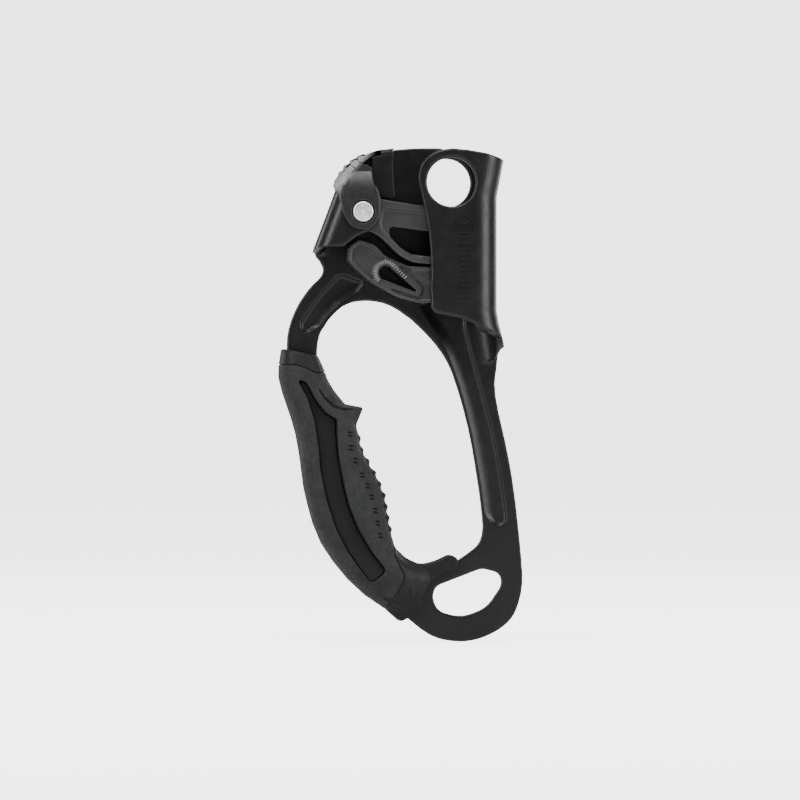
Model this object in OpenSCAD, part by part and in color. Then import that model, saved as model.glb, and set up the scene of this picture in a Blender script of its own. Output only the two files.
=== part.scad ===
// Handled rope ascender, left-hand.
// Origin: axis of the upper connection hole, at the front face of the back plate.
// X to the right seen from the front, Z up along the rope, Y away from the viewer.

/* [Frame] */
// Thickness of the folded aluminium sheet
sheet = 3.0; // [2.6:0.1:3.2]
// Clear depth of the rope channel between back plate and front flap
rope_gap = 13.5; // [13.2:0.1:13.8]
// Radius of the upper connection hole
upper_hole_r = 9.8; // [8:0.1:10]
// Depth of the stamped troughs in the two legs
trough_depth = 1.2; // [0.6:0.1:1.4]
// Radius of the ribs across the palm cap
rib_r = 1.3; // [1.0:0.1:1.5]

/* [Cam and axle] */
// Radius of the axle rivet's shank
rivet_r = 3.0; // [2.6:0.1:3.0]
// Radius of the rivet's visible head
rivet_head_r = 4.1; // [3.8:0.1:4.3]
// Outer radius of the bush the cam turns on
bush_r = 4.0; // [3.7:0.1:4.0]
// Radial running clearance of the cam on its bush
running_gap = 0.05; // [0.03:0.01:0.08]
// Radius of the cam's toothed face, straight out from the axle
cam_r = 48.0; // [47:0.1:48.1]
// Pitch angle of the cam's spiral face
cam_pitch = 14; // [10:1:14]
// Length of each rope tooth
tooth_len = 1.4; // [0.8:0.1:1.5]
// Rows of teeth up the cam face
tooth_rows = 8; // [5:1:9]

/* [Catch] */
// Radius of the catch's pivot pin
pin_r = 1.5; // [1.2:0.1:1.6]
// Number of beads on the catch's thumb ring
bead_count = 15; // [9:1:18]

/* [Grip] */
// Half thickness of the rubber grip at its fullest
grip_half = 14.2; // [13:0.1:15]
// Number of finger ridges
ridge_count = 9; // [5:1:10]

/* [Hidden] */
$fn = 48;
eps = 0.01;
far = 60;

front_in = -rope_gap;              // inner face of the front flap
front_out = -rope_gap - sheet;     // outer face of the front flap
mid_y = -rope_gap / 2;             // middle of the rope channel
fold_depth = rope_gap / 2 + sheet; // fold centre line to its outermost skin
axle = [-35.7, -12];
catch_pivot = [3, -38.2];
hub_r = 7.6;
cam_y = [-12.4, -1.1];             // cam's front and rear faces
catch_y = [-12, -1.5];             // catch's front and rear faces
lug_y = [-9.4, -6.4];              // cam lug inside the catch's fork
fork_y = [-9.7, -3.9];             // slot of the fork
cap_t = 2;                         // cap lobe over the housing
grip_y = sheet / 2;                // the grip is centred on the back plate
peg_r = 2;
pegs = [[-58.5, -84], [-51, -111], [-37.5, -145]];

// ---- outline helpers ----

function flat(p) = [p.x, p.y];
function unit(v) = v / norm(v);
function turned(v, a) = [v.x * cos(a) - v.y * sin(a), v.x * sin(a) + v.y * cos(a)];

// One corner of an outline as an arc; the radius shrinks to what its two sides allow.
function corner(a, b, c) =
    let(u = unit(flat(a) - flat(b)), v = unit(flat(c) - flat(b)),
        half = acos(max(-1, min(1, u * v))) / 2,
        room = 0.49 * min(norm(flat(a) - flat(b)), norm(flat(c) - flat(b))))
    b[2] == 0 || half > 89.7 ? [flat(b)] :
    let(t = min(b[2] / tan(half), room), r = t * tan(half), sweep = 180 - 2 * half,
        centre = flat(b) + unit(u + v) * r / sin(half), s = flat(b) + u * t - centre,
        way = cross(s, flat(b) + v * t - centre) > 0 ? 1 : -1, n = max(1, ceil(sweep / 8)))
    [for (i = [0:n]) centre + turned(s, way * sweep * i / n)];

function rounded(pts) = let(n = len(pts))
    [for (i = [0:n - 1]) each corner(pts[(i + n - 1) % n], pts[i], pts[(i + 1) % n])];

// Points [x, z] with one radius for all of them
function soft(pts, r = 99) = [for (p = pts) [p.x, p.y, r]];

// Triangles of a skin with rings 0 to n of m points each
function wrap_faces(n, m) = [for (i = [0:n - 1], j = [0:m - 1]) let(k = (j + 1) % m)
    each [[i * m + j, (i + 1) * m + k, i * m + k], [i * m + j, (i + 1) * m + j, (i + 1) * m + k]]];

// Extrudes a drawing in the XZ plane from y0 (front) back to y1
module plate(y0, y1) {
    translate([0, y1, 0]) rotate([90, 0, 0]) linear_extrude(y1 - y0) children();
}

module rod(p, r, y0, y1) {
    translate([p.x, y0, p.y]) rotate([-90, 0, 0]) cylinder(r = r, h = y1 - y0);
}

// ---- folds of the sheet ----

function arc(c, r, a0, a1) = let(n = ceil(abs(a1 - a0) / 7.5))
    [for (i = [0:n]) c + r * [cos(a0 + (a1 - a0) * i / n), sin(a0 + (a1 - a0) * i / n)]];

// One skin of a fold that opens to the left, [depth, y] from its front end round to its back end;
// it laps a little way over the flat sheet
function fold_skin(depth, h, r) = concat([[-0.6, -h]], arc([depth - r, r - h], r, -90, 0),
    arc([depth - r, h - r], r, 0, 90), [[-0.6, h]]);

// Folded sheet along a path of [x, z] points that runs upwards, mitred at each point
module fold(path, r_in) {
    h = rope_gap / 2;
    skins = [fold_skin(fold_depth, h + sheet, r_in + sheet), fold_skin(fold_depth - sheet, h, r_in)];
    n = len(skins[0]);
    last = len(path) - 1;
    lean = [for (i = [0:last - 1]) atan2(path[i + 1].x - path[i].x, path[i + 1].y - path[i].y)];
    function at(i, p) = let(a = lean[max(0, i - 1)], b = lean[min(last - 1, i)], m = (a + b) / 2,
        u = p.x / cos((a - b) / 2)) [path[i].x + u * cos(m), mid_y + p.y, path[i].y - u * sin(m)];
    function k(i, skin, j) = (i * 2 + skin) * n + j;
    polyhedron(
        points = [for (i = [0:last], skin = skins, p = skin) at(i, p)],
        faces = concat(
            [for (i = [0:last - 1], j = [0:n - 2]) each [
                [k(i, 0, j), k(i + 1, 0, j), k(i + 1, 0, j + 1), k(i, 0, j + 1)],
                [k(i, 1, j), k(i, 1, j + 1), k(i + 1, 1, j + 1), k(i + 1, 1, j)]]],
            [for (i = [0:last - 1]) each [
                [k(i, 0, 0), k(i, 1, 0), k(i + 1, 1, 0), k(i + 1, 0, 0)],
                [k(i, 0, n - 1), k(i + 1, 0, n - 1), k(i + 1, 1, n - 1), k(i, 1, n - 1)]]],
            [for (j = [0:n - 2]) each [
                [k(0, 0, j), k(0, 0, j + 1), k(0, 1, j + 1), k(0, 1, j)],
                [k(last, 0, j), k(last, 1, j), k(last, 1, j + 1), k(last, 0, j + 1)]]]));
}

// ---- frame ----

channel_path = [[13.1, -72], [9.6, -52], [9.6, -5], [13.2, 14]];
housing_path = [[-46.3, -33.5], [-32.7, 2.65]];

back_outline = concat(
    [[-34.26, -1.5, 0], [-41, -1.5, 1], [-40.4, 2.4, 3], [-36, 7, 4], [-31, 10.2, 6],
     [-24, 11.7, 1], [-22, 13.2, 1]],
    soft([[-16.5, 13.9], [-6.5, 14.2]]), [[3, 14, 0], [13.3, 14.6, 0], [9.6, -5, 0], [9.6, -52, 0], [12.4, -69, 0], [21.9, -69.2, 1.6]],
    soft([[20.6, -74], [19.7, -79], [19.8, -83], [20.6, -89], [22, -95], [24.3, -105],
          [26.3, -115], [28.2, -128], [29.5, -140], [30.6, -151], [31.3, -163],
          [27.3, -174.8], [20, -180.6], [11, -183.9], [3, -184.2], [-4.4, -182.6], [-10, -179.4],
          [-15.4, -174.7], [-22, -169.5], [-30, -163], [-38, -155.3], [-45, -147],
          [-49.5, -138], [-52.6, -128], [-54.6, -116], [-56.8, -102], [-59, -92],
          [-62, -82], [-64.2, -74], [-64.4, -62], [-62.7, -55], [-59.2, -47.5],
          [-54.2, -41], [-50.7, -38]]),
    [[-49.3, -34.8, 4], [-51.4, -31, 3], [-53.9, -28.6, 1], [-50, -28.2, 0], [-44.3, -28.2, 0]]);

hand_hole = soft([
    [-33.2, -46.9], [-24, -48.2], [-14.2, -54.3], [-4.2, -64.6], [0.8, -72], [3.8, -80],
    [6.8, -90], [9.8, -102], [11.8, -114], [13.8, -127], [15, -139], [13.5, -145],
    [4.6, -151.7], [-4, -155.6], [-12, -156.5], [-20, -153], [-28, -145], [-36, -133],
    [-41, -120], [-44.5, -106], [-48, -90], [-51, -80], [-52.3, -68], [-51.5, -61.5],
    [-48.6, -54.6], [-42.4, -48.8]]);

lower_eye = [[-5.6, -166.6, 8], [-4.4, -161.9, 4], [14.4, -154.7, 6], [21.8, -156.6, 7],
             [22.6, -161.5, 8], [16.2, -170.6, 12], [6, -174.4, 14], [-3.2, -171.8, 7]];

flap_outline = concat(
    soft([[-13.7, 1.8], [-12.5, 6.6], [-10, 10], [-6, 12.4], [0, 13.6]]),
    [[13.3, 14.6, 0], [9.6, -5, 0], [9.6, -52, 0], [10.4, -57.2, 0], [4.3, -54.5, 8],
     [-7.8, -51.9, 3.5]],
    soft([[-8.5, -45], [-8.1, -34], [-8.6, -24], [-10, -14], [-12.4, -4]]));

housing_outline = [[-34.26, -1.5, 0], [-29.9, -1.5, 1], [-28.2, -7, 9], [-28.2, -15, 8],
                   [-32.4, -19.6, 5], [-37.6, -21.6, 9], [-43.5, -26, 0]];

right_trough = [[-9.5, -46, 2], [-6.2, -52, 20], [-2.4, -57.5, 20], [0.9, -63, 20], [3.8, -69, 30],
                [7.8, -80, 40], [10.6, -90, 60], [13, -100, 80], [16.6, -120, 80], [18, -131, 40],
                [18.6, -137.2, 4], [24.4, -137.2, 4], [23.9, -131, 40], [22.4, -120, 80],
                [18.8, -100, 80], [13.4, -80, 60], [10.2, -68, 30], [7.6, -58, 10], [7.4, -46, 2]];

left_trough = [[-43, -36.5, 3], [-49, -42.6, 20], [-54.2, -49.4, 20], [-59.6, -57.6, 2.6],
               [-55.6, -60.6, 2.6], [-50.4, -52.8, 20], [-44.6, -46.6, 20], [-36, -41.6, 20],
               [-33, -40, 2]];

module rope_channel() {
    difference() {
        fold(channel_path, rope_gap / 2);
        // the wall ends on a slope that runs down from the flap to the back plate
        translate([4.3, front_out, -54.5]) rotate([0, 22, 0]) rotate([-38, 0, 0])
            translate([-far, -far, -2 * far]) cube(2 * far);
    }
    plate(front_out, front_in) polygon(rounded(flap_outline));
}

module cam_housing() {
    difference() {
        mirror([1, 0, 0]) fold([for (p = housing_path) [-p.x, p.y]], 3.5);
        translate([-2 * far, -far, -1.5]) cube(4 * far);
        translate([-50, front_out, -25.8]) rotate([-9.6, 0, 0]) translate([-far, -far, -2 * far])
            cube(2 * far);
    }
    plate(front_out, front_in) polygon(rounded(housing_outline));
}

module frame() {
    color([0.10, 0.10, 0.105]) difference() {
        union() {
            plate(0, sheet) polygon(rounded(back_outline));
            rope_channel();
            cam_housing();
        }
        // sloping top edge
        plate(-far, far) polygon([[-2, 13.7], [7, 12.9], [14, 11.7], [21.8, 9.3], [40, 3], [40, 40], [-2, 40]]);
        plate(-eps, sheet + eps) polygon(rounded(hand_hole));
        plate(-eps, sheet + eps) polygon(rounded(lower_eye));
        plate(-eps, trough_depth) polygon(rounded(right_trough));
        plate(-eps, trough_depth) polygon(rounded(left_trough));
        rod([0, 0], upper_hole_r, -far, far);
        rod(axle, rivet_r + 0.05, -far, far);
        rod(axle + [5.65, 0], 0.65, -eps, 1.8);
        for (p = pegs) rod(p, peg_r + 0.15, -eps, sheet + eps);
    }
}

// ---- palm cap ----

cap_edge = [[-45.2, -1.6], [-44.6, 1.6], [-41.4, 5.6], [-36.4, 9.6], [-30, 12.5], [-22.2, 13.6]];
cap_lobe = [[-46.6, -1, 1], [-43.2, -14, 9], [-40, -18.6, 6], [-33, -19.6, 6], [-29.2, -14, 6],
            [-29.2, -6, 9], [-31.5, 0, 9], [-32, 6.5, 2], [-38, 7.5, 2], [-43.5, 2.6, 2]];
cap_web = [[-31, -2, 1], [-28.4, -5.6, 2], [-21, -6.6, 1.6], [-21.8, 4, 40], [-21.5, 12.6, 0.8],
           [-30.5, 11.5, 2]];

module cap_shell() {
    skin = rope_gap / 2 + sheet;
    lean = atan2(housing_path[1].x - housing_path[0].x, housing_path[1].y - housing_path[0].y);
    intersection() {
        translate([housing_path[0].x, mid_y, housing_path[0].y]) rotate([0, lean, 0])
            linear_extrude(46) mirror([1, 0]) polygon(rounded([
                [-40, -skin, 0], [fold_depth, -skin, 6.4], [fold_depth, 0, 0],
                [fold_depth + cap_t, 0, 0], [fold_depth + cap_t, -skin - cap_t, 6.5 + cap_t],
                [-40, -skin - cap_t, 0]]));
        plate(-far, mid_y) polygon(rounded(cap_lobe));
    }
}

module palm_cap() {
    color([0.36, 0.37, 0.38]) {
        difference() {
            union() {
                cap_shell();
                // band over the sheet's top-left edge
                plate(front_out - cap_t, sheet + 1.4) polygon(rounded(concat(
                    soft(cap_edge, 9),
                    [[-22.1, 13.3, 0.1], [-24.1, 11.8, 1], [-31, 10.3, 6], [-36, 7.1, 4],
                     [-40.5, 2.4, 3], [-41.1, -1.4, 0.4]])));
                plate(-2, 0) polygon(rounded(cap_web));
                plate(sheet, sheet + 1.4) polygon(rounded([[-44, -1.4, 1], [-40.6, 6, 3], [-33, 11, 6],
                    [-24, 12.6, 1], [-24, 8, 2], [-32, 5, 4], [-35, -1.4, 2]]));
            }
            rod(axle, rivet_head_r + 0.5, front_out - cap_t - 1, front_out + eps);
            // the band tapers back towards its right-hand end
            translate([-34, front_out - cap_t, 0]) rotate([0, 0, 38]) translate([0, -far, 6])
                cube([far, far, far]);
        }
        // palm ribs across the edge
        for (t = [0:4]) {
            p = [-44.1, 0.4] + t * [2.25, 2.35] + [-0.012, 0.012] * t * (4 - t) * 18;
            translate([p.x, -15.5, p.y]) rotate([-90, 0, 0]) cylinder(r = rib_r, h = 16.5);
        }
    }
}

// ---- axle ----

module axle_rivet() {
    color([0.80, 0.81, 0.82]) {
        rod(axle, rivet_r, front_out - eps, sheet + 1 + eps);
        translate([axle.x, front_out, axle.y]) rotate([90, 0, 0])
            rotate_extrude() polygon(rounded([[0, 0, 0], [rivet_head_r, 0, 0], [rivet_head_r, 2.2, 0.7],
                [0.9, 2.5, 0.4], [0, 2.2, 0]]));
        translate([axle.x, sheet + 1, axle.y]) rotate([-90, 0, 0])
            rotate_extrude() polygon(rounded([[0, 0, 0], [rivet_head_r, 0, 0.4], [rivet_head_r - 0.4, 1.5, 0.8],
                [1.6, 1.3, 0.4], [0, 0.7, 0]]));
    }
}

module ring(r_in, r_out, y0, y1) {
    difference() {
        rod(axle, r_out, y0, y1);
        rod(axle, r_in, y0 - 1, y1 + 1);
    }
}

module rivet_washer() {
    color([0.72, 0.73, 0.75]) ring(rivet_r + 0.05, rivet_head_r + 1.4, sheet, sheet + 1);
}

module axle_bush() {
    color([0.70, 0.62, 0.40]) ring(rivet_r + 0.05, bush_r, front_in, 0);
}

module thrust_washer_front() {
    color([0.86, 0.85, 0.80]) ring(bush_r + running_gap, bush_r + 1.6, front_in, front_in + 0.8);
}

module thrust_washer_rear() {
    color([0.86, 0.85, 0.80]) ring(bush_r + running_gap, bush_r + 0.75, -0.8, 0);
}

// ---- cam ----

function face_point(a, r = cam_r) =
    axle + r * exp(-tan(cam_pitch) * a * PI / 180) * [cos(a), sin(a)];

cam_outline = concat(
    [[-36.4, -4.45, 0], [-28.5, -6.8, 4], [-10.7, -9.6, 40], [10.4, -12.6, 2]],
    [for (a = [-2:-2:-24]) [face_point(a).x, face_point(a).y, 0]],
    [[8, -33.2, 2], [-4, -32.9, 9], [-9.3, -32.7, 9], [-15.6, -32, 9], [-20.6, -29.2, 9],
     [-28.2, -21.9, 9], [-32, -19.8, 6], [-36.4, -19.55, 0]]);

cam_face = [[-27, -10.4, 3], [-10.7, -12, 30], [6, -14.2, 2], [8, -29.5, 2], [-8.6, -30.4, 9],
            [-14.6, -29.8, 9], [-19, -27, 9], [-26, -20.6, 9], [-28.4, -17.4, 4]];
cam_slot = [[-24.5, -17.7, 2], [-10.7, -19.4, 30], [1, -20.6, 2], [1.6, -29.4, 3], [-8.7, -29.6, 9],
            [-15.4, -28.8, 9], [-20.4, -26, 6], [-24.6, -21, 4]];

module tooth(a, y) {
    p = face_point(a);
    translate([p.x, y, p.y]) rotate([0, 90 - a - cam_pitch * 0.9, 0]) translate([0, 0, -0.5])
        cylinder(r1 = 1, r2 = 0.25, h = tooth_len + 0.5, $fn = 16);
}

module cam() {
    color([0.26, 0.26, 0.27]) difference() {
        union() {
            plate(cam_y[0], cam_y[1]) polygon(rounded(cam_outline));
            rod(axle, hub_r, cam_y[0], cam_y[1]);
            plate(lug_y[0], lug_y[1]) translate(catch_pivot) union() {
                circle(4.2);
                translate([-4.2, 0]) square([8.4, 8]);
            }
            for (i = [0:tooth_rows - 1], k = [-1:1])
                if (i % 2 == 0 || k < 1)
                    tooth(-4 - i * 17 / tooth_rows, mid_y + (k + (i % 2) * 0.5) * 2.6);
        }
        // the nose narrows to fit inside the round of the rope channel
        for (s = [-1, 1]) translate([0, mid_y, -40]) linear_extrude(40)
            polygon([[6, s * 5.7], [30, s * 5.7], [30, s * 4.1], [12, s * 4.1]]);
        for (y = [[cam_y[0] - 1, cam_y[0] + 1], [cam_y[1] - 1, cam_y[1] + 1]])
            plate(y[0], y[1]) polygon(rounded(cam_face));
        plate(-far, far) polygon(rounded(cam_slot));
        rod(axle, bush_r + running_gap, -far, far);
        difference() {
            rod(axle, 6.6, -7, 0);
            rod(axle, 4.75, -8, 0);
        }
        // window that takes the spring's moving leg
        plate(-7, -5.4) translate(axle) translate([4.8, -1.2]) square([6, 2.4]);
        rod(catch_pivot, pin_r + running_gap, -far, far);
    }
}

// Round wire wound about the Y axis, starting at angle 0
module coil(mean, wire, pitch, turns) {
    steps = ceil(turns * 20);
    sides = 8;
    function at(i, j) = let(a = 360 * turns * i / steps, b = 360 * j / sides, r = mean + wire * cos(b))
        [r * cos(a), pitch * turns * i / steps + wire * sin(b), r * sin(a)];
    polyhedron(
        points = [for (i = [0:steps], j = [0:sides - 1]) at(i, j)],
        faces = concat(
            [[for (j = [0:sides - 1]) j]],
            wrap_faces(steps, sides),
            [[for (j = [0:sides - 1]) steps * sides + sides - 1 - j]]));
}

module cam_spring() {
    color([0.75, 0.76, 0.78]) translate([axle.x, 0, axle.y]) {
        translate([0, -6.2, 0]) coil(5.65, 0.45, 1.12, 4);
        translate([5.65, -1.9, 0]) rotate([-90, 0, 0]) cylinder(r = 0.45, h = 3.4);
        translate([5.4, -6.2, 0]) rotate([0, 90, 0]) cylinder(r = 0.45, h = 4.6);
    }
}

// ---- catch ----

catch_outline = [[-40.6, -25.6, 3], [-36.4, -23, 2], [-30.4, -25, 6], [-26.3, -29.4, 5],
                 [-21, -31.9, 6], [-16.5, -33.6, 6], [-3, -34.2, 9], [2, -33.7, 4], [7.3, -35.6, 4],
                 [7.3, -41, 4], [2.4, -43, 9], [-4.6, -47.4, 9], [-10.6, -48.6, 12], [-20.8, -45.8, 20],
                 [-32, -39.8, 20], [-38.4, -34.4, 9], [-41.2, -31, 3]];
bead_centre = [-25.9, -36.3];

// Teardrop between a round end and a tail point
module teardrop(r, tail, grow = 0) {
    union() {
        translate(bead_centre) circle(r + grow);
        polygon(rounded([[bead_centre.x - 0.5 * (r + grow), bead_centre.y - 0.86 * (r + grow), 0],
            [tail.x + grow * 0.6, tail.y - 0.4 - grow * 0.8, 0.4 + grow / 2],
            [tail.x + grow, tail.y + 0.4 + grow * 0.4, 0.4 + grow / 2],
            [bead_centre.x + 0.55 * (r + grow), bead_centre.y + 0.83 * (r + grow), 0]]));
    }
}

module catch_lever() {
    tail = [-13.6, -43.6];
    inner = catch_y[0] + 1.1;
    color([0.24, 0.24, 0.25]) difference() {
        union() {
            plate(inner, catch_y[1]) polygon(rounded(catch_outline));
            // raised rim, ring round the opening and lower bar
            plate(catch_y[0], inner + eps) difference() {
                polygon(rounded(catch_outline));
                offset(delta = -1.1) polygon(rounded(catch_outline));
            }
            plate(catch_y[0], inner + eps) teardrop(2.8, tail, 2.6);
            plate(catch_y[0] + 0.4, inner + eps) polygon([[-16.5, -34.6], [-4, -34.8], [-4, -42.4], [-14, -37.4]]);
            rod(catch_pivot, 4.6, catch_y[0], catch_y[1]);
            for (i = [0:bead_count - 1]) {
                a = 215 - i * 190 / (bead_count - 1);
                translate([bead_centre.x + 4.5 * cos(a), catch_y[0], bead_centre.y + 4.5 * sin(a)])
                    sphere(r = 0.6, $fn = 16);
            }
        }
        plate(-far, far) teardrop(2.8, tail);
        translate([catch_pivot.x - 5.2, fork_y[0], catch_pivot.y - 12])
            cube([20, fork_y[1] - fork_y[0], 24]);
        rod(catch_pivot, pin_r + 0.03, -far, far);
    }
}

module catch_pin() {
    color([0.80, 0.81, 0.82]) rod(catch_pivot, pin_r, catch_y[0] + 0.1, catch_y[1] - 0.1);
}

module catch_spring() {
    color([0.75, 0.76, 0.78]) translate([catch_pivot.x, 0, catch_pivot.y]) {
        translate([0, -5.8, 0]) coil(2.6, 0.35, 0.75, 2);
        translate([-2.6, -5.8 + 0.75 * 1.5, 0]) rotate([0, -90, 0]) cylinder(r = 0.35, h = 2.2);
    }
}

// ---- grip ----

// Stations down the grip: back of the hand x, z, finger side x, z, half thickness
grip_stations = [
    [-66.5, -66.4, -51.8, -69.4, grip_half - 4.5],
    [-67.5, -73.0, -49.0, -75.6, grip_half - 2.4],
    [-67.6, -78.0, -48.2, -78.4, grip_half - 1.6],
    [-66.1, -84.0, -45.4, -83.2, grip_half - 0.9],
    [-64.2, -89.5, -41.0, -88.6, grip_half - 0.4],
    [-62.5, -94.5, -37.2, -94.2, grip_half],
    [-60.7, -101, -35.8, -100, grip_half],
    [-59.4, -108, -34.7, -106.4, grip_half],
    [-58.5, -115, -31.4, -112.6, grip_half],
    [-57.6, -122, -27.7, -119, grip_half],
    [-56.0, -129, -25.2, -125.6, grip_half],
    [-53.9, -136.5, -24.1, -132, grip_half],
    [-50.6, -144.4, -23.1, -138, grip_half - 0.2],
    [-45.8, -151.7, -21.6, -143.2, grip_half - 0.6],
    [-39.9, -158.9, -20.0, -147.4, grip_half - 1.4],
    [-33.0, -165.3, -17.0, -150.4, grip_half - 2.6],
    [-25.3, -170.5, -13.4, -152.4, grip_half - 4.2],
    [-19.0, -175.2, -8.6, -153.6, grip_half - 6.6],
    [-14.0, -172.8, -4.6, -155.6, grip_half - 9.2]];

// One point of the section across the grip; trim takes the wall off its back, finger side and faces
function grip_point(s, trim, t) =
    let(u = unit([s[2], s[3]] - [s[0], s[1]]), p = [s[0], s[1]] + u * trim[0],
        q = [s[2], s[3]] - u * trim[1], b = s[4] - trim[2],
        c = (p + q) / 2 + (q - p) / 2 * sign(cos(t)) * pow(abs(cos(t)), 0.8))
    [c.x, grip_y + b * sign(sin(t)) * pow(abs(sin(t)), 0.8), c.y];

// Body of the grip from one station to another; trim is the same as for grip_point
module grip_body(trim = [0, 0, 0], first = 0, last = len(grip_stations) - 1) {
    m = 28;
    n = last - first;
    polyhedron(
        points = [for (i = [first:last], j = [0:m - 1])
            grip_point(grip_stations[i], trim, -360 * j / m)],
        faces = concat([[for (j = [0:m - 1]) j]], wrap_faces(n, m),
            [[for (j = [0:m - 1]) n * m + m - 1 - j]]));
}

upper_collar = [[-72, -60, 0], [-40, -60, 0], [-44, -76, 0], [-49.2, -76, 1], [-53.4, -76.2, 3],
                [-57.6, -74.4, 4], [-61.6, -73, 4], [-72, -72.8, 0]];
lower_collar = [[-19, -140, 0], [-21.2, -145, 1], [-22.2, -148.6, 3], [-20.4, -152.6, 5], [-18, -157, 4],
                [-18.7, -160.4, 4], [-21.4, -164.6, 6], [-27, -174, 0], [-20, -182, 0], [10, -182, 0],
                [10, -140, 0]];
collar_plate = [[-21, -146, 1], [-17, -150, 9], [-10.5, -153.2, 12], [-4, -151.5, 9], [1.4, -148.9, 1.5],
                [4.4, -150.6, 1.5], [4.5, -153.8, 1.5], [2.2, -155.6, 2], [-1.4, -156, 9], [-7.8, -160.6, 9],
                [-9.8, -165, 9], [-10.2, -169.8, 3], [-15.6, -174.4, 3], [-18.8, -176, 1.5],
                [-25, -170.4, 3], [-24, -158, 9]];
window_panel = [[-61.5, -78.4, 1.6], [-57.4, -86, 9], [-54.5, -95, 20], [-52.9, -105, 20],
                [-52, -115, 20], [-49.5, -127, 20], [-46, -138, 20], [-41.4, -147, 20], [-36.5, -154, 9],
                [-31.2, -160.4, 2], [-25.2, -155.4, 2], [-31.4, -147.5, 9], [-37, -138, 20],
                [-40.5, -129, 20], [-42.5, -121, 20], [-44.6, -110, 20], [-45.4, -100, 9],
                [-45.4, -94.6, 1.5], [-49.6, -92.4, 6], [-53.6, -87.4, 9], [-57.6, -80, 3]];

core_spine = [[-64, -70, 2], [-63.4, -78, 4], [-60.6, -88, 9], [-57.4, -100, 20], [-55.6, -114, 20],
              [-53, -127.5, 20], [-49, -139.5, 20], [-44, -149, 20], [-37, -157.6, 9], [-29, -164.6, 9],
              [-18, -171, 3], [-13, -166, 3], [-16, -156, 4], [-26, -150.5, 9], [-33, -140, 20],
              [-38.6, -124, 20], [-41.6, -110, 20], [-42.6, -97, 6], [-48, -89.6, 6],
              [-52, -82, 4], [-53.4, -70, 2]];

module leg_pocket() {
    plate(0, sheet) difference() {
        polygon(rounded(back_outline));
        polygon(rounded(hand_hole));
        polygon(rounded(lower_eye));
    }
}

// Hard core between two depths: spine, window panel and the two collars
module grip_core(y0, y1) {
    difference() {
        union() {
            plate(max(y0, grip_y - 8.6), min(y1, grip_y + 8.6)) polygon(rounded(core_spine));
            plate(max(y0, grip_y - 10.9), min(y1, grip_y + 10.9))
                offset(delta = -0.1) polygon(rounded(window_panel));
            intersection() {
                grip_body(first = 0, last = 3);
                plate(y0, y1) polygon(rounded(upper_collar));
            }
            intersection() {
                grip_body(first = 12, last = 18);
                plate(y0, y1) polygon(rounded(lower_collar));
            }
            plate(max(y0, grip_y - 4.6), min(y1, grip_y + 4.6)) intersection() {
                polygon(rounded(collar_plate));
                polygon(rounded(lower_collar));
            }
        }
        leg_pocket();
        for (p = pegs) rod(p, peg_r + 0.05, grip_y - 7, grip_y + 7);
    }
}

module grip_core_front() {
    color([0.13, 0.13, 0.135]) grip_core(-far, grip_y);
}

module grip_core_rear() {
    color([0.13, 0.13, 0.135]) grip_core(grip_y, far);
}

module grip_pegs() {
    color([0.16, 0.16, 0.165]) for (p = pegs) rod(p, peg_r, grip_y - 6.5, grip_y + 6.5);
}

module finger_ridges() {
    edge = [for (s = [len(grip_stations) - 1:-1:0]) [grip_stations[s][3], grip_stations[s][2]]];
    for (i = [0:ridge_count - 1]) {
        z = -102.6 - 36.4 * i / (ridge_count - 1);
        hull() for (e = [-1, 1])
            translate([lookup(z, edge) - 0.95, grip_y + e * 5, z]) rotate([0, -20, 0])
                scale([1.7, 1, 1]) sphere(1.15, $fn = 16);
    }
}

// Hooked beak above the forefinger
module grip_beak() {
    hull() {
        translate([-34.4, grip_y, -90.4]) scale([1, 9, 1]) sphere(0.6, $fn = 16);
        translate([-41, grip_y, -90.6]) scale([1, 5.4, 1]) sphere(2, $fn = 16);
        translate([-38.6, grip_y, -98]) scale([1, 5.4, 1]) sphere(1.6, $fn = 16);
    }
}

module grip_overmould() {
    color([0.21, 0.22, 0.215]) difference() {
        union() {
            grip_body();
            finger_ridges();
            grip_beak();
        }
        plate(-far, far) polygon(rounded(upper_collar));
        plate(-far, far) polygon(rounded(lower_collar));
        plate(-far, far) polygon(rounded(window_panel));
        plate(grip_y - 8.6, grip_y + 8.6) polygon(rounded(core_spine));
        leg_pocket();
    }
}

frame();
palm_cap();
axle_rivet();
rivet_washer();
axle_bush();
thrust_washer_front();
thrust_washer_rear();
cam();
cam_spring();
catch_lever();
catch_pin();
catch_spring();
grip_core_front();
grip_core_rear();
grip_pegs();
grip_overmould();
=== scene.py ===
import math

import bmesh
import bpy
import numpy as np
from mathutils import Matrix, Vector


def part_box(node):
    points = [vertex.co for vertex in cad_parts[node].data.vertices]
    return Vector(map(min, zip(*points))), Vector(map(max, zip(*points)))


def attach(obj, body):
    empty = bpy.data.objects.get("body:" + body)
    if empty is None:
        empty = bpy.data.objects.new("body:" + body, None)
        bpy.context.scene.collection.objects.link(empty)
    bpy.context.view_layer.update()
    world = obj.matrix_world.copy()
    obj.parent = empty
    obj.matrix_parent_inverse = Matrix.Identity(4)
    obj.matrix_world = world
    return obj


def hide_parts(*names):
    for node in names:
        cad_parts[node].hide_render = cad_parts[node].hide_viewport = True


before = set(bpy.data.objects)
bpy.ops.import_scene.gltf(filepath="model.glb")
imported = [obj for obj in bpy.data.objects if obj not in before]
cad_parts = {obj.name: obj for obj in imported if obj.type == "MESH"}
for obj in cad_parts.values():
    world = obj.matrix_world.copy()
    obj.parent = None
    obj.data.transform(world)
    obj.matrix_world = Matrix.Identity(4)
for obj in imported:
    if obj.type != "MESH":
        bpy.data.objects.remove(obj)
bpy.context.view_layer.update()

MM = 0.001
MID_Y = -6.75          # middle of the rope channel, mm
FLAP_Y = -16.5         # outer face of the front flap, mm
CAMERA_TURN = -6.9     # degrees round from straight in front, towards the cam axle
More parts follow.
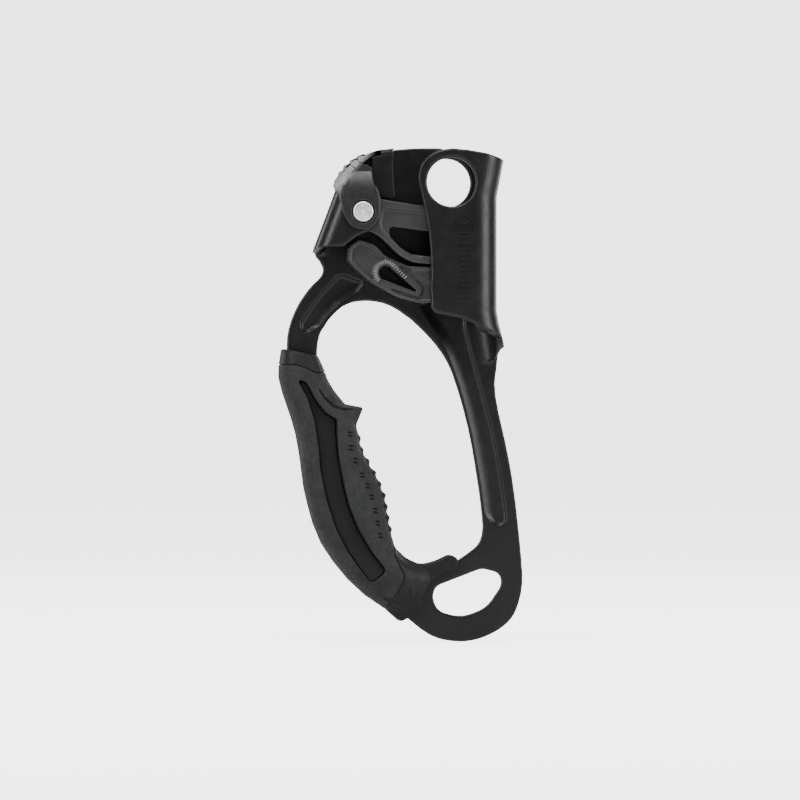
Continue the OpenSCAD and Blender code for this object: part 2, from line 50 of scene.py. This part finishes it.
CAMERA_AWAY = 2.4      # m
PICTURE_WIDTH = 0.32   # m across the picture at the object
PICTURE_CENTRE = (-0.0196, -0.0870)
VIEW_SLIP = 0.121      # mm sideways in the picture for each mm of depth, from the camera's turn
BACKGROUND_GLOW = 3.4  # brightness of the floor and the room behind, as the camera sees them
STUDIO_FILL = 0.125    # brightness of the room as it lights the object
LIGHTS_AIM = (-0.02, 0, -0.06)
LIGHTS = {             # place and size in m, power in W
    "top": ((-0.10, -0.50, 1.0), (0.8, 0.5), 11),
    "right": ((0.97, -0.58, 0.10), (0.6, 1.1), 13),
    "upper_left": ((-0.62, -0.66, 0.66), (0.4, 0.4), 2.2),
    "back_top": ((0.10, 0.60, 0.95), (0.8, 0.5), 6),
    "back_right": ((-0.80, 0.85, 0.05), (0.4, 1.0), 4),
    "back_left": ((0.80, 0.85, 0.05), (0.4, 1.0), 4),
    "left": ((-0.92, -0.58, 0.22), (0.34, 1.0), 9),
}


# ---- small helpers ----

def link(name, mesh):
    piece = bpy.data.objects.new(name, mesh)
    bpy.context.scene.collection.objects.link(piece)
    return piece


def baked(piece):
    """Puts the result of the piece's modifiers into its own mesh."""
    bpy.context.view_layer.update()
    graph = bpy.context.evaluated_depsgraph_get()
    mesh = bpy.data.meshes.new_from_object(piece.evaluated_get(graph))
    piece.modifiers.clear()
    piece.data = mesh
    return piece


def smooth_faces(mesh):
    mesh.polygons.foreach_set("use_smooth", [True] * len(mesh.polygons))


def points_of(piece):
    flat = np.empty(len(piece.data.vertices) * 3)
    piece.data.vertices.foreach_get("co", flat)
    return flat.reshape(-1, 3) / MM


def set_points(piece, points):
    piece.data.vertices.foreach_set("co", (points * MM).ravel())
    piece.data.update()


def normals_of(piece):
    flat = np.empty(len(piece.data.vertices) * 3)
    piece.data.vertices.foreach_get("normal", flat)
    return flat.reshape(-1, 3)


def rounded_copy(node, cell, passes):
    """A copy of a CAD node with all its sharp edges rounded over, its cell size in mm."""
    piece = link(node + "_body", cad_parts[node].data.copy())
    weld = piece.modifiers.new("weld", "WELD")
    weld.merge_threshold = 2e-6
    remesh = piece.modifiers.new("remesh", "REMESH")
    remesh.mode = "VOXEL"
    remesh.voxel_size = cell * MM
    remesh.use_smooth_shade = True
    relax = piece.modifiers.new("relax", "SMOOTH")
    relax.factor = 0.5
    relax.iterations = passes
    return baked(piece)


def thinned(piece, ratio):
    """Fewer faces: the even mesh of a remeshed piece carries more than its flats need."""
    thin = piece.modifiers.new("thin", "DECIMATE")
    thin.ratio = ratio
    return baked(piece)


def finish_piece(piece, body, slot, material, *nodes):
    piece.data.materials.clear()
    piece.data.materials.append(material)
    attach(piece, body)
    if nodes:
        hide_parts(*nodes)
    return piece


def along_path(points, path):
    """Signed distance of each [x, z] to a path, positive on its left, the direction to the left
    there, how far along the path it is, and the path's whole length."""
    best = np.full(len(points), 1e9)
    side = np.zeros(len(points))
    away = np.zeros((len(points), 2))
    run = np.zeros(len(points))
    walked = 0.0
    for a, b in zip(path[:-1], path[1:]):
        a, b = np.array(a, float), np.array(b, float)
        length = np.linalg.norm(b - a)
        u = (b - a) / length
        left = np.array([-u[1], u[0]])
        t = np.clip((points - a) @ u, 0, length)
        gap = points - (a + t[:, None] * u)
        distance = np.linalg.norm(gap, axis=1)
        nearer = distance < best
        best[nearer] = distance[nearer]
        side[nearer] = np.sign(gap[nearer] @ left)
        away[nearer] = left
        run[nearer] = (walked + t)[nearer]
        walked += length
    return best * side, away, run, walked


def soft_step(t):
    t = np.clip(t, 0, 1)
    return t * t * (3 - 2 * t)


# ---- materials ----

GREY_LOW, GREY_HIGH = 0.3, 0.7     # the part of a noise's range that is used


def base_material(name, colour, roughness, metallic=0.0, specular=0.5):
    material = bpy.data.materials.new(name)
    material.use_nodes = True
    shader = material.node_tree.nodes["Principled BSDF"]
    shader.inputs["Base Color"].default_value = (*colour, 1)
    shader.inputs["Roughness"].default_value = roughness
    shader.inputs["Metallic"].default_value = metallic
    shader.inputs["Specular IOR Level"].default_value = specular
    return material, shader


def add(material, kind, **values):
    node = material.node_tree.nodes.new(kind)
    for key, value in values.items():
        if hasattr(node, key):
            setattr(node, key, value)
        else:
            node.inputs[key.replace("_", " ")].default_value = value
    return node


def join(material, a, b):
    material.node_tree.links.new(a, b)


def noise(material, scale, detail=3.0, stretch=None):
    """Noise in the row frame; scale is in cells per metre, stretch lengthens it along an axis."""
    place = add(material, "ShaderNodeTexCoord")
    source = place.outputs["Object"]
    if stretch:
        mapping = add(material, "ShaderNodeMapping")
        mapping.inputs["Scale"].default_value = stretch
        join(material, source, mapping.inputs["Vector"])
        source = mapping.outputs["Vector"]
    node = add(material, "ShaderNodeTexNoise", Scale=scale, Detail=detail)
    join(material, source, node.inputs["Vector"])
    return node.outputs["Fac"]


def vary(material, source, target, low, high):
    """Maps the middle of a grey value's range on to a range of a number."""
    node = add(material, "ShaderNodeMapRange")
    node.inputs["From Min"].default_value = GREY_LOW
    node.inputs["From Max"].default_value = GREY_HIGH
    node.inputs["To Min"].default_value = low
    node.inputs["To Max"].default_value = high
    join(material, source, node.inputs["Value"])
    join(material, node.outputs["Result"], target)


def tint(material, source, target, dark, light):
    """Maps the middle of a grey value's range on to a range of colour."""
    ramp = add(material, "ShaderNodeValToRGB")
    ramp.color_ramp.elements[0].position = GREY_LOW
    ramp.color_ramp.elements[0].color = (*dark, 1)
    ramp.color_ramp.elements[1].position = GREY_HIGH
    ramp.color_ramp.elements[1].color = (*light, 1)
    join(material, source, ramp.inputs["Fac"])
    join(material, ramp.outputs["Color"], target)


def bump(material, shader, source, height):
    """Bump from a grey value; height in mm."""
    node = add(material, "ShaderNodeBump")
    node.inputs["Strength"].default_value = 1.0
    node.inputs["Distance"].default_value = height * MM
    join(material, source, node.inputs["Height"])
    join(material, node.outputs["Normal"], shader.inputs["Normal"])


def scaled(colour, k):
    return tuple(c * k for c in colour)


def plain_finish(name, colour, roughness, metallic, specular, grain, height, blotch=45.0,
                 spread=0.18, stretch=None):
    """A finish with slow changes of tone, a varied gloss and a fine grain."""
    material, shader = base_material(name, colour, roughness, metallic, specular)
    slow = noise(material, blotch, 4)
    tint(material, slow, shader.inputs["Base Color"],
         scaled(colour, 1 - spread), scaled(colour, 1 + spread))
    vary(material, noise(material, blotch * 6, 5, stretch), shader.inputs["Roughness"],
         roughness * 0.86, min(1, roughness * 1.16))
    bump(material, shader, noise(material, grain, 4, stretch), height)
    return material


def anodised_sheet():
    return plain_finish("anodised_sheet", (0.006, 0.006, 0.0064), 0.34, 0.0, 0.40, 5200, 0.010)


def cast_black(name, tone, roughness):
    return plain_finish(name, (tone, tone, tone * 1.02), roughness, 0.35, 0.5, 3200, 0.014, 60, 0.22)


def brushed_face():
    return plain_finish("brushed_black_steel", (0.055, 0.055, 0.056), 0.44, 0.5, 0.5, 900, 0.012, 50,
                        0.2, (0.12, 1, 9))


# painted highlight on the cap: past these distances along this direction, up and to the left towards the
# lamps, its colour is painted light grey
PAINTED_HIGHLIGHT_DIRECTION = (-0.75, 0, 0.66)
PAINTED_HIGHLIGHT_FROM, PAINTED_HIGHLIGHT_TO = 0.0296, 0.0345     # m along that direction


def cap_nylon():
    """Dark nylon with a painted highlight: it turns light grey up and to the left, on the side the light
    comes from.
    """
    material, shader = base_material("cap_nylon", (0.030, 0.030, 0.031), 0.36)
    place = add(material, "ShaderNodeTexCoord")
    outward = add(material, "ShaderNodeVectorMath", operation="DOT_PRODUCT")
    outward.inputs[1].default_value = PAINTED_HIGHLIGHT_DIRECTION
    painted_highlight = add(material, "ShaderNodeMapRange")
    painted_highlight.inputs["From Min"].default_value = PAINTED_HIGHLIGHT_FROM
    painted_highlight.inputs["From Max"].default_value = PAINTED_HIGHLIGHT_TO
    join(material, place.outputs["Object"], outward.inputs[0])
    join(material, outward.outputs["Value"], painted_highlight.inputs["Value"])
    # painted highlight: the base colour ramps from dark to light grey along the direction of the light
    tint(material, painted_highlight.outputs["Result"], shader.inputs["Base Color"],
         (0.014, 0.014, 0.0145), (0.25, 0.255, 0.26))
    vary(material, noise(material, 420, 5), shader.inputs["Roughness"], 0.30, 0.44)
    bump(material, shader, noise(material, 2600, 4), 0.012)
    return material


def core_nylon():
    return plain_finish("core_nylon", (0.0055, 0.0055, 0.0058), 0.55, 0.0, 0.28, 2400, 0.014, 70, 0.15)


def grip_rubber():
    material, shader = base_material("grip_rubber", (0.031, 0.033, 0.032), 0.72, 0, 0.32)
    slow = noise(material, 110, 6)
    tint(material, slow, shader.inputs["Base Color"], (0.0100, 0.0111, 0.0107), (0.0195, 0.0212, 0.0205))
    vary(material, noise(material, 500, 4), shader.inputs["Roughness"], 0.62, 0.84)
    bump(material, shader, noise(material, 2100, 5), 0.06)
    return material


def turned_steel():
    """Turned steel: a sheen in rings round the piece's own axis."""
    colour, roughness = (0.90, 0.91, 0.92), 0.40
    material, shader = base_material("turned_steel", colour, roughness, 0.8)
    shader.inputs["Anisotropic"].default_value = 0.65
    tangent = add(material, "ShaderNodeTangent", direction_type="RADIAL", axis="Y")
    join(material, tangent.outputs["Tangent"], shader.inputs["Tangent"])
    tint(material, noise(material, 380, 4), shader.inputs["Base Color"],
         scaled(colour, 0.86), scaled(colour, 1.1))
    vary(material, noise(material, 1500, 4), shader.inputs["Roughness"], roughness * 0.8, roughness * 1.35)
    bump(material, shader, noise(material, 5200, 3, (1, 0.2, 1)), 0.006)
    return material


def plain_metal(name, colour, roughness):
    return plain_finish(name, colour, roughness, 1.0, 0.5, 4200, 0.006, 160, 0.12)


def acetal():
    return plain_finish("natural_acetal", (0.62, 0.61, 0.56), 0.38, 0.0, 0.5, 3000, 0.006, 120, 0.06)


# ---- frame ----

TROUGH_DEPTH = 1.2      # mm
RIGHT_TROUGH_EDGE = [(-9.5, -46), (-6.2, -52), (-2.4, -57.5), (0.9, -63), (3.8, -69), (7.8, -80),
                     (10.6, -90), (13, -100), (16.6, -120), (18, -131), (18.5, -136)]
LEFT_TROUGH_EDGE = [(-34, -40.3), (-36, -41.6), (-44.6, -46.6), (-50.4, -52.8), (-54.6, -59)]


def slope_wall(points, path, width, reach, sides):
    """Leans the wall of a trough outwards on the left of a path, so that it becomes a bevel width mm
    wide. It fades out at the path's start, or at both ends."""
    d, away, run, total = along_path(points[:, [0, 2]], path)
    ends = soft_step(run / 6 + 0.2)
    if sides == "both":
        ends = ends * soft_step((total - run) / 4)
    front = (points[:, 1] > -0.8) & (points[:, 1] < TROUGH_DEPTH + 0.2) & (d > -0.6) & (d < reach)
    lean = np.clip(1 - points[:, 1] / TROUGH_DEPTH, 0, 1)
    push = width * lean * np.clip(1 - d / reach, 0, 1) * ends * front
    moved = points.copy()
    moved[:, 0] += away[:, 0] * push
    moved[:, 2] += away[:, 1] * push
    return moved


def lift_foot(points):
    """Sweeps the lip at the foot of the rope channel upwards towards the front."""
    x, y, z = points.T
    lift = soft_step((-3 - y) / 8) * soft_step((x - 11) / 8) * np.clip((-56 - z) / 13, 0, 1)
    moved = points.copy()
    moved[:, 2] += 5.0 * lift
    # its outer corner is round
    corner = np.clip((x - 18) / 3.5, 0, 1) ** 2 * soft_step((z + 77) / 4)
    moved[:, 2] += 0.6 * corner * np.clip(-64 - moved[:, 2], 0, 8)
    return moved


def build_frame(material):
    piece = rounded_copy("frame", 0.46, 7)
    points = lift_foot(points_of(piece))
    points = slope_wall(points, RIGHT_TROUGH_EDGE[::-1], 2.7, 3.7, "start")
    points = slope_wall(points, LEFT_TROUGH_EDGE, 2.4, 4.5, "both")
    set_points(piece, points)
    relax = piece.modifiers.new("relax", "SMOOTH")
    relax.factor = 0.5
    relax.iterations = 3
    return finish_piece(thinned(baked(piece), 0.42), "frame", "anodised_sheet", material, "frame")


MARK_HEIGHT = 0.34      # mm that the marks stand out of the flap
MARK_ROOT = 0.15        # mm that they go into it
MARK_MIDDLE = 5.0       # their x, mm


def raised_bar(mesh, centre, across, along, turn=0.0):
    """Low bar with sloping sides on the flap: centre [x, z] and sizes in mm."""
    c, s = math.cos(turn), math.sin(turn)
    corners = []
    for depth, slope in ((MARK_ROOT, 0), (-MARK_HEIGHT, MARK_HEIGHT * 0.8)):
        for sx, sz in ((-1, -1), (1, -1), (1, 1), (-1, 1)):
            x = sx * (across / 2 - slope)
            z = sz * (along / 2 - slope)
            corners.append(mesh.verts.new(Vector((centre[0] + x * c - z * s, FLAP_Y + depth,
                                                  centre[1] + x * s + z * c)) * MM))
    low, high = corners[:4], corners[4:]
    mesh.faces.new(low[::-1])
    mesh.faces.new(high)
    for i in range(4):
        mesh.faces.new((low[i], low[(i + 1) % 4], high[(i + 1) % 4], high[i]))


def flap_marks(material):
    """A plain arrow for the way up and a row of plain bars, raised on the flap."""
    mesh = bmesh.new()
    for side in (-1, 1):
        raised_bar(mesh, (MARK_MIDDLE + side * 1.75, -14.4), 5.0, 0.8, -side * math.radians(42))
    raised_bar(mesh, (MARK_MIDDLE, -16.9), 7.6, 0.8)
    for i in range(14):
        raised_bar(mesh, (MARK_MIDDLE, -20.4 - 2.15 * i), 4.6, 0.85)
    data = bpy.data.meshes.new("flap_marks")
    bmesh.ops.recalc_face_normals(mesh, faces=mesh.faces)
    mesh.to_mesh(data)
    piece = link("flap_marks", data)
    return finish_piece(piece, "frame", "anodised_sheet", material)


# ---- palm cap and axle ----

CAP_RIBS = [(-44.6, -0.6), (-43.2, 2.3), (-41.2, 5.0), (-38.8, 7.4), (-36.1, 9.3)]


def palm_ribs(material):
    """Stepped ribs that the palm pushes on, laid across the cap's rounded edge."""
    mesh = bmesh.new()
    for i, (x, z) in enumerate(CAP_RIBS):
        facing = math.radians(28 + 9 * i)
        turn = math.radians(90) - facing
        size = Matrix.Diagonal(Vector((2.6, 15.6 - 0.4 * i, 4.2 - 0.4 * i, 1)))
        inward = Vector((math.cos(facing), 0, -math.sin(facing)))
        middle = Vector((x, -8.6, z)) + inward * (0.9 - 0.1 * i)
        place = Matrix.Translation(middle) @ Matrix.Rotation(turn, 4, "Y")
        bmesh.ops.create_cube(mesh, size=1.0, matrix=place @ size)
    bmesh.ops.scale(mesh, vec=(MM, MM, MM), verts=mesh.verts)
    data = bpy.data.meshes.new("palm_ribs")
    mesh.to_mesh(data)
    piece = link("palm_ribs", data)
    bevel = piece.modifiers.new("bevel", "BEVEL")
    bevel.width = 0.75 * MM
    bevel.segments = 4
    baked(piece)
    smooth_faces(piece.data)
    return finish_piece(piece, "frame", "cap_plastic", material)


def build_cap(material):
    """The cap, with its lobe falling back towards the palm edge like a shallow dish."""
    piece = rounded_copy("palm_cap", 0.24, 6)
    points = points_of(piece)
    rise = np.clip(points[:, 2] + 8, 0, 20)
    lobe = (points[:, 1] < -13.5) * soft_step((points[:, 0] + 46) / 5)
    points[:, 1] += np.clip(0.024 * rise ** 2, 0, 3.6) * lobe
    set_points(piece, points)
    return finish_piece(piece, "frame", "cap_plastic", material, "palm_cap")


# ---- cam and catch ----

def build_cam(material):
    return finish_piece(rounded_copy("cam", 0.30, 5), "cam", "cam_steel", material, "cam")


BEAD_CENTRE = (-25.9, -36.3)   # the ring of the CAD catch lever


def catch_beads(material):
    """Little cross bars round the thumb ring."""
    mesh = bmesh.new()
    spots = []
    for i in range(16):
        a = math.radians(222 - 178 * i / 15)
        spots.append((BEAD_CENTRE[0] + 4.2 * math.cos(a), BEAD_CENTRE[1] + 4.2 * math.sin(a), a))
    x, z, a = spots[-1]
    for i in range(1, 7):
        spots.append((x + 0.80 * i, z - 0.77 * i, a))
    for x, z, a in spots:
        place = Matrix.Translation(Vector((x, -12.3, z))) @ Matrix.Rotation(-a, 4, "Y")
        bmesh.ops.create_icosphere(mesh, subdivisions=2, radius=1.0,
                                   matrix=place @ Matrix.Diagonal(Vector((0.85, 0.70, 0.36, 1))))
    bmesh.ops.scale(mesh, vec=(MM, MM, MM), verts=mesh.verts)
    data = bpy.data.meshes.new("catch_beads")
    mesh.to_mesh(data)
    smooth_faces(data)
    return finish_piece(link("catch_beads", data), "catch", "catch_alloy", material)


def build_catch(material):
    piece = rounded_copy("catch_lever", 0.24, 5)
    return finish_piece(piece, "catch", "catch_alloy", material, "catch_lever")


# ---- grip ----

# lines on the grip's face as [x, z] in mm, seen level with the middle of the rope channel
NOTCHES = [(-39.5, -100.5), (-39.3, -106), (-37.3, -111), (-33.8, -116.5), (-31.5, -121),
           (-30, -125.5), (-28.5, -131), (-27.5, -136), (-27, -141)]
RIDGE_LINE = [(-23.8, -146), (-24.6, -134), (-27.3, -122), (-33.8, -110), (-36.6, -97)]
FACET_LINE = [(-45.0, -112), (-41.5, -122), (-37, -133), (-30, -147)]
CREASE = [(-52.3, -82.3), (-50, -86), (-46, -89.5), (-42, -90.6), (-37.5, -90.5)]


def groove(points, normals, path, width, depth):
    """Presses a groove into the front and back faces along a path of [x, z] points."""
    d, away, run, total = along_path(points[:, [0, 2]], path)
    fade = soft_step(run / 1.5 + 0.2) * soft_step((total - run) / 1.5 + 0.2)
    k = np.exp(-(d / width) ** 2) * fade * (np.abs(d) < 4 * width)
    k = k * soft_step((np.abs(normals[:, 1]) - 0.25) / 0.4)
    return points - normals * (depth * k)[:, None]


def finer(piece, lines):
    """Divides the mesh near lines of [x, z] points, so that it can carry fine marks."""
    points = points_of(piece)
    near = np.zeros(len(points), bool)
    for line, reach in lines:
        near |= np.abs(along_path(points[:, [0, 2]], line)[0]) < reach
    mesh = bmesh.new()
    mesh.from_mesh(piece.data)
    edges = [e for e in mesh.edges if near[e.verts[0].index] and near[e.verts[1].index]]
    bmesh.ops.subdivide_edges(mesh, edges=edges, cuts=2, use_grid_fill=True)
    mesh.to_mesh(piece.data)
    mesh.free()
    smooth_faces(piece.data)


def soften_ridges(piece):
    """Wears down the finger ridges on the edge that faces the hand hole."""
    d, away, run, total = along_path(points_of(piece)[:, [0, 2]], RIDGE_LINE)
    group = piece.vertex_groups.new(name="ridges")
    group.add(np.flatnonzero((np.abs(d) < 3.2) & (run > 1) & (run < total - 0.5)).tolist(), 1.0, "REPLACE")
    soften = piece.modifiers.new("soften", "SMOOTH")
    soften.factor = 0.5
    soften.iterations = 80
    soften.vertex_group = "ridges"
    return baked(piece)


def build_overmould(material):
    piece = soften_ridges(rounded_copy("grip_overmould", 0.33, 9))
    face_y = points_of(piece)[:, 1].min() + 3
    shift = VIEW_SLIP * (face_y - MID_Y)
    crease = [(x + shift, z) for x, z in CREASE]
    near_notches = [([(x + shift - 1.5, z - 0.1), (x + shift + 1.6, z - 0.1)], 1.6) for x, z in NOTCHES]
    finer(piece, near_notches + [(crease, 1.0)])
    points, normals = points_of(piece), normals_of(piece)
    for x, z in NOTCHES:
        for step in (0.6, -0.8):
            path = [(x + shift - 1.3, z + step + 0.12), (x + shift + 1.4, z + step - 0.08)]
            points = groove(points, normals, path, 0.27, 1.1)
    points = groove(points, normals, crease, 0.42, 1.1)
    # the finger side falls away from a line down the face
    line = [(x + shift, z) for x, z in FACET_LINE]
    d, away, run, total = along_path(points[:, [0, 2]], line)
    fall = np.clip(d / 7, 0, 1) * soft_step(run / 6) * soft_step((total - run) / 6)
    points = points - normals * (1.3 * fall * soft_step(np.abs(normals[:, 1]) * 2 - 0.5))[:, None]
    set_points(piece, points)
    return finish_piece(thinned(piece, 0.26), "frame", "grip_rubber", material, "grip_overmould")


def build_cores(material):
    for node in ("grip_core_front", "grip_core_rear"):
        finish_piece(rounded_copy(node, 0.36, 16), "frame", "core_plastic", material, node)


# ---- CAD pieces that are shown as they are ----

def dress(node, material, edge=0.0):
    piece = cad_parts[node]
    piece.data.materials.clear()
    piece.data.materials.append(material)
    if edge:
        weld = piece.modifiers.new("weld", "WELD")
        weld.merge_threshold = 2e-6
        bevel = piece.modifiers.new("edge", "BEVEL")
        bevel.width = edge * MM
        bevel.segments = 2
        bevel.limit_method = "ANGLE"
        bevel.angle_limit = math.radians(40)


# ---- stage ----

def build_stage():
    """Pale floor that runs out into a white background."""
    floor_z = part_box("frame")[0].z - 0.0002
    mesh = bmesh.new()
    bmesh.ops.create_circle(mesh, cap_ends=True, segments=64, radius=3.0,
                            matrix=Matrix.Translation(Vector((0, 0, floor_z))))
    data = bpy.data.meshes.new("floor")
    mesh.to_mesh(data)
    floor = link("floor", data)
    material, shader = base_material("pale_floor", (0.86, 0.86, 0.86), 0.9, 0, 0.1)
    path = add(material, "ShaderNodeLightPath")
    glow = add(material, "ShaderNodeMath", operation="MULTIPLY")
    glow.inputs[1].default_value = BACKGROUND_GLOW
    join(material, path.outputs["Is Camera Ray"], glow.inputs[0])
    shader.inputs["Emission Color"].default_value = (1, 1, 1, 1)
    join(material, glow.outputs["Value"], shader.inputs["Emission Strength"])
    data.materials.append(material)


def area_light(name, place, size, power):
    data = bpy.data.lights.new(name, "AREA")
    data.shape = "RECTANGLE"
    data.size, data.size_y = size
    data.energy = power
    light = bpy.data.objects.new(name, data)
    bpy.context.scene.collection.objects.link(light)
    light.location = place
    light.rotation_euler = (Vector(LIGHTS_AIM) - Vector(place)).to_track_quat("-Z", "Y").to_euler()


def build_lights():
    world = bpy.data.worlds.new("studio")
    bpy.context.scene.world = world
    world.use_nodes = True
    background = world.node_tree.nodes["Background"]
    background.inputs["Color"].default_value = (1, 1, 1, 1)
    path = world.node_tree.nodes.new("ShaderNodeLightPath")
    level = world.node_tree.nodes.new("ShaderNodeMapRange")
    level.inputs["To Min"].default_value = STUDIO_FILL
    level.inputs["To Max"].default_value = BACKGROUND_GLOW
    world.node_tree.links.new(path.outputs["Is Camera Ray"], level.inputs["Value"])
    world.node_tree.links.new(level.outputs["Result"], background.inputs["Strength"])
    for name, (place, size, power) in LIGHTS.items():
        area_light(name, place, size, power)


def build_camera():
    data = bpy.data.cameras.new("camera")
    data.sensor_width = 36
    data.lens = 36 * CAMERA_AWAY / PICTURE_WIDTH
    camera = bpy.data.objects.new("camera", data)
    bpy.context.scene.collection.objects.link(camera)
    a = math.radians(CAMERA_TURN)
    target = Vector((PICTURE_CENTRE[0], MID_Y * MM, PICTURE_CENTRE[1]))
    camera.location = target + CAMERA_AWAY * Vector((math.sin(a), -math.cos(a), 0))
    camera.rotation_euler = (math.radians(90), 0, a)
    bpy.context.scene.camera = camera


# ---- the whole object ----

sheet_black = anodised_sheet()
build_frame(sheet_black)
flap_marks(sheet_black)
cap_black = cap_nylon()
build_cap(cap_black)
palm_ribs(cap_black)
build_cam(brushed_face())
catch_black = cast_black("catch_black", 0.05, 0.34)
build_catch(catch_black)
catch_beads(cast_black("bead_edges", 0.22, 0.42))
build_overmould(grip_rubber())
core_black = core_nylon()
build_cores(core_black)

steel = turned_steel()
dress("axle_rivet", steel)
dress("rivet_washer", steel, 0.12)
dress("catch_pin", steel, 0.12)
dress("axle_bush", plain_metal("sintered_bronze", (0.55, 0.42, 0.24), 0.42), 0.12)
white = acetal()
dress("thrust_washer_front", white, 0.1)
dress("thrust_washer_rear", white, 0.1)
wire = plain_metal("spring_wire", (0.52, 0.53, 0.55), 0.3)
for coil in ("cam_spring", "catch_spring"):
    dress(coil, wire)
    smooth_faces(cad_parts[coil].data)
dress("grip_pegs", core_black, 0.15)

build_stage()
build_lights()
build_camera()
